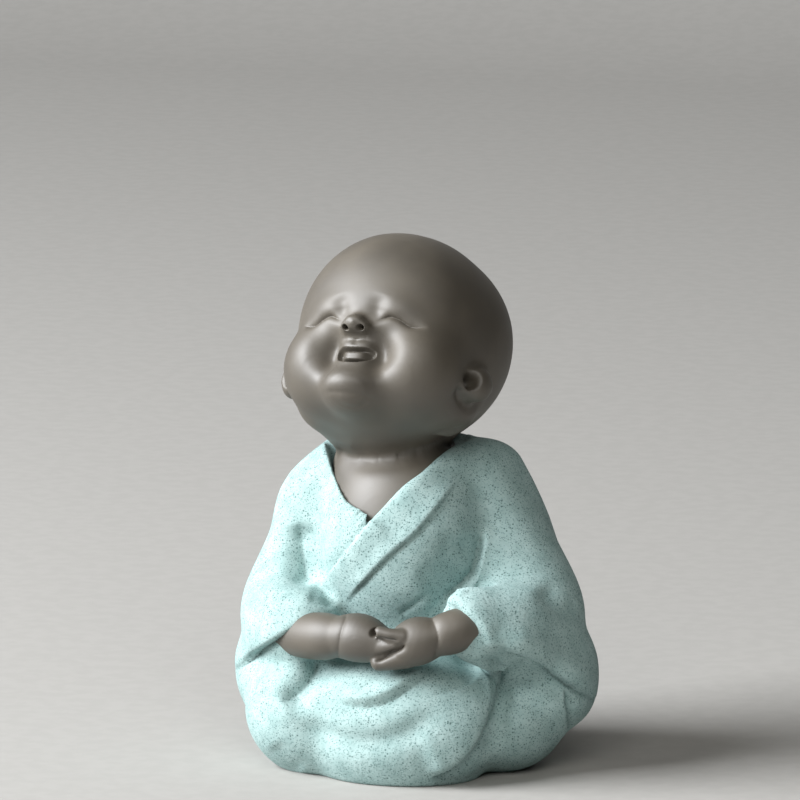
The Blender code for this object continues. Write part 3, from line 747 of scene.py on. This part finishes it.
def box_of(*pieces):
    corners = []
    for piece in pieces:
        co = np.empty(len(piece.data.vertices) * 3, np.float32)
        piece.data.vertices.foreach_get("co", co)
        corners.append(co.reshape(-1, 3))
    corners = np.vstack(corners)
    return Vector(corners.min(0)), Vector(corners.max(0))


low, high = box_of(robe, head, hands)
shift = (CAD_LOW + CAD_HIGH) / 2 - (low + high) / 2
shift.z = CAD_LOW.z - low.z
for piece, slot in ((robe, "aqua_sand"), (head, "brown_clay"), (hands, "brown_clay")):
    piece.data.transform(Matrix.Translation(shift))
    piece.data.shade_smooth()
    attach(piece, "root")
    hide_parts("little_monk")
taller = (high.z - low.z) - (CAD_HIGH.z - CAD_LOW.z)
print("moved by", [round(c / MM, 2) for c in shift], "mm")
print("taller than the frame by", round(taller / MM, 2), "mm")

# %% [markdown]
# ## Finishes
#
# Small functions add a node with its settings and links. Colours are sRGB hex values, which another
# function turns to linear light.

# %% Node and colour helpers


def linear(hex_code):
    """An sRGB hex colour in linear light."""
    channels = [int(hex_code[i : i + 2], 16) / 255 for i in (0, 2, 4)]
    return (*[c / 12.92 if c <= 0.04045 else ((c + 0.055) / 1.055) ** 2.4 for c in channels], 1)


def new_material(name):
    material = bpy.data.materials.new(name)
    material.use_nodes = True
    return material, material.node_tree, material.node_tree.nodes["Principled BSDF"]


def add(tree, kind, settings=None, inputs=None):
    """Adds a node. An input is a value, or another node's socket, which is linked."""
    node = tree.nodes.new(kind)
    for setting, value in (settings or {}).items():
        setattr(node, setting, value)
    for socket, value in (inputs or {}).items():
        if isinstance(value, bpy.types.NodeSocket):
            tree.links.new(value, node.inputs[socket])
        else:
            node.inputs[socket].default_value = value
    return node


def noise(tree, place, size, detail):
    """Noise with blotches of this size."""
    inputs = {"Vector": place, "Scale": 1 / size, "Detail": detail}
    return add(tree, "ShaderNodeTexNoise", inputs=inputs).outputs["Fac"]


def bump(tree, height, strength, distance):
    """Relief in the shading, as deep as distance."""
    inputs = {"Height": height, "Strength": strength, "Distance": distance}
    return add(tree, "ShaderNodeBump", inputs=inputs).outputs["Normal"]


def remap(tree, value, start, end, at_start, at_end):
    """Maps a value from start..end to at_start..at_end, and holds it there outside."""
    inputs = {"Value": value, "From Min": start, "From Max": end, "To Min": at_start, "To Max": at_end}
    return add(tree, "ShaderNodeMapRange", inputs=inputs).outputs["Result"]


def calculate(tree, operation, a, b):
    return add(tree, "ShaderNodeMath", {"operation": operation}, {0: a, 1: b}).outputs["Value"]


def bands(tree, factor, stops):
    """A colour ramp through stops of position and colour."""
    node = add(tree, "ShaderNodeValToRGB", inputs={"Fac": factor})
    elements = node.color_ramp.elements
    while len(elements) < len(stops):
        elements.new(1)
    for element, (position, colour) in zip(elements, stops):
        element.position = position
        element.color = colour
    return node.outputs["Color"]


# %% [markdown]
# Fine brown clay, pressed and burnished, then fired without glaze. The eye sees a dense skin with a
# satin sheen, slightly mottled where the fire and the hand touched it, and almost no grain.

# %% Burnished brown clay

CLAY_MOTTLE = 9 * MM
CLAY_GRAIN = 0.35 * MM

material, tree, shader = new_material("burnished brown clay")
place = add(tree, "ShaderNodeTexCoord").outputs["Object"]
mottle = noise(tree, place, CLAY_MOTTLE, detail=3.0)
tone = bands(tree, mottle, [(0.35, linear("453F35")), (0.65, linear("50493D"))])
gloss = remap(tree, mottle, start=0.3, end=0.7, at_start=0.56, at_end=0.62)
grain = noise(tree, place, CLAY_GRAIN, detail=4.0)
relief = bump(tree, grain, strength=0.12, distance=0.05 * MM)
tree.links.new(tone, shader.inputs["Base Color"])
tree.links.new(gloss, shader.inputs["Roughness"])
tree.links.new(relief, shader.inputs["Normal"])
shader.inputs["IOR"].default_value = 1.55
shader.inputs["Specular IOR Level"].default_value = 1.0
for piece in (head, hands):
    piece.data.materials.clear()
    piece.data.materials.append(material)
print(material.name, "has", len(tree.nodes), "nodes")

# %% [markdown]
# Coloured sand, bonded on the clay and fired: matt, rough to the touch, pale blue-green with dark
# grains among the light ones. The dark grains are a random part of the cells of two Voronoi
# patterns, and each looks about two thirds as wide as its cell.

# %% Aqua sand

# Width of the cells, and the share of them that is darker than the rest
GRAINS = ((0.21 * MM, 0.6), (0.357 * MM, 0.28))
SAND_PATCH = 2.5 * MM
SAND_BUMPS = 0.5 * MM

material, tree, shader = new_material("aqua sand")
place = add(tree, "ShaderNodeTexCoord").outputs["Object"]
layers = []
for width, share in GRAINS:
    inputs = {"Vector": place, "Scale": 1 / width, "Randomness": 1.0}
    cells = add(tree, "ShaderNodeTexVoronoi", inputs=inputs)
    pick = add(tree, "ShaderNodeSeparateColor", inputs={"Color": cells.outputs["Color"]})
    red, distance = pick.outputs["Red"], cells.outputs["Distance"]
    chosen = remap(tree, red, start=1 - share, end=1 - share / 2, at_start=0.0, at_end=1.0)
    inner = remap(tree, distance, start=0.15, end=0.5, at_start=1.0, at_end=0.0)
    layers.append(calculate(tree, "MULTIPLY", chosen, inner))
dark = calculate(tree, "MAXIMUM", *layers)
patches = noise(tree, place, SAND_PATCH, detail=4.0)
pale = bands(tree, patches, [(0.3, linear("8FAAA8")), (0.7, linear("A5BEBC"))])
mixed = {"Factor": dark, "A": pale, "B": linear("44615F")}
speckled = add(tree, "ShaderNodeMix", {"data_type": "RGBA"}, mixed)
bumps = noise(tree, place, SAND_BUMPS, detail=5.0)
relief = bump(tree, bumps, strength=0.5, distance=0.15 * MM)
tree.links.new(speckled.outputs["Result"], shader.inputs["Base Color"])
tree.links.new(relief, shader.inputs["Normal"])
shader.inputs["Roughness"].default_value = 0.92
shader.inputs["IOR"].default_value = 1.5
robe.data.materials.clear()
robe.data.materials.append(material)
print(material.name, "has", len(tree.nodes), "nodes")

# %% [markdown]
# ## The studio
#
# A pale paper sheet runs under the figure and curves up behind it, as in a product photograph.

# %% Paper sheet

# In metres
SHEET_WIDTH = 1.6
SHEET_HEIGHT = 1.2
SHEET_BACK = 0.2  # how far behind the figure its middle lies
SHEET_BEND = 0.3
PAPER_FIBRE = 3 * MM

bpy.ops.mesh.primitive_plane_add(size=SHEET_WIDTH, location=(0, SHEET_BACK, 0))
sheet = bpy.context.object
sheet.name = "sheet"
bpy.ops.object.mode_set(mode="EDIT")
bpy.ops.mesh.select_mode(type="EDGE")
bpy.ops.mesh.select_all(action="DESELECT")
bpy.ops.object.mode_set(mode="OBJECT")
for border in sheet.data.edges:
    border.select = all(sheet.data.vertices[i].co.y > 0 for i in border.vertices)
bpy.ops.object.mode_set(mode="EDIT")
bpy.ops.mesh.extrude_region_move(TRANSFORM_OT_translate={"value": (0, 0, SHEET_HEIGHT)})
bpy.ops.object.mode_set(mode="OBJECT")
bpy.ops.object.transform_apply(location=True)
modify(sheet, "BEVEL", width=SHEET_BEND, segments=12)
sheet.data.shade_smooth()

material, tree, shader = new_material("pale paper")
place = add(tree, "ShaderNodeTexCoord").outputs["Object"]
fibres = noise(tree, place, PAPER_FIBRE, detail=3.0)
paper = bands(tree, fibres, [(0.4, linear("A4A29E")), (0.6, linear("A7A5A1"))])
tree.links.new(paper, shader.inputs["Base Color"])
shader.inputs["Roughness"].default_value = 0.8
sheet.data.materials.append(material)

# %% [markdown]
# One large soft light stands high on the left of the picture and models the forms. A weak one in
# front lightens their shadows, and the room adds hardly any light.

# %% Lights

LIT_POINT = (0, 0, 0.04)  # the middle of the figure


def aim(obj, target):
    obj.rotation_euler = (Vector(target) - obj.location).to_track_quat("-Z", "Y").to_euler()


def soft_light(name, location, width, height, watts, colour):
    bpy.ops.object.light_add(type="AREA", location=location)
    light = bpy.context.object
    light.name = name
    light.data.shape = "RECTANGLE"
    light.data.size = width
    light.data.size_y = height
    light.data.energy = watts
    light.data.color = linear(colour)[:3]
    aim(light, LIT_POINT)


soft_light("key", (-0.84, -0.45, 0.62), width=0.8, height=0.7, watts=36.0, colour="FAFCFF")
soft_light("front", (0.2, -0.85, 0.75), width=0.8, height=0.6, watts=5.0, colour="FFFDF8")

world = bpy.data.worlds.new("soft room")
bpy.context.scene.world = world
world.use_nodes = True
world.node_tree.nodes["Background"].inputs["Color"].default_value = linear("DDE1E4")
world.node_tree.nodes["Background"].inputs["Strength"].default_value = 0.04

# %% [markdown]
# The camera looks from a little to the figure's left and above, as the photograph's did, and from
# far enough away that near and far parts keep their sizes.

# %% Camera

PICTURE = 800  # pixels, each way
PIXELS_PER_UNIT = 6.93
SEAT_AT = (417, 757)  # the pixel where the middle of the seat falls
CAMERA_AWAY = 1.2  # metres
SENSOR = 36  # millimetres, which is the unit of lenses too

across, above = PICTURE / 2 - SEAT_AT[0], SEAT_AT[1] - PICTURE / 2
target = shift + on_picture(THREE_QUARTER, across / PIXELS_PER_UNIT, above / PIXELS_PER_UNIT, 0) * U
bpy.ops.object.camera_add(location=target + on_picture(THREE_QUARTER, 0, 0, CAMERA_AWAY))
camera = bpy.context.object
aim(camera, target)
camera.data.sensor_width = SENSOR
camera.data.lens = SENSOR * CAMERA_AWAY / (PICTURE / PIXELS_PER_UNIT * U)
camera.data.clip_end = 10
bpy.context.scene.camera = camera
bpy.context.scene.view_settings.view_transform = "Standard"
print("the camera's lens is", round(camera.data.lens), "mm long")
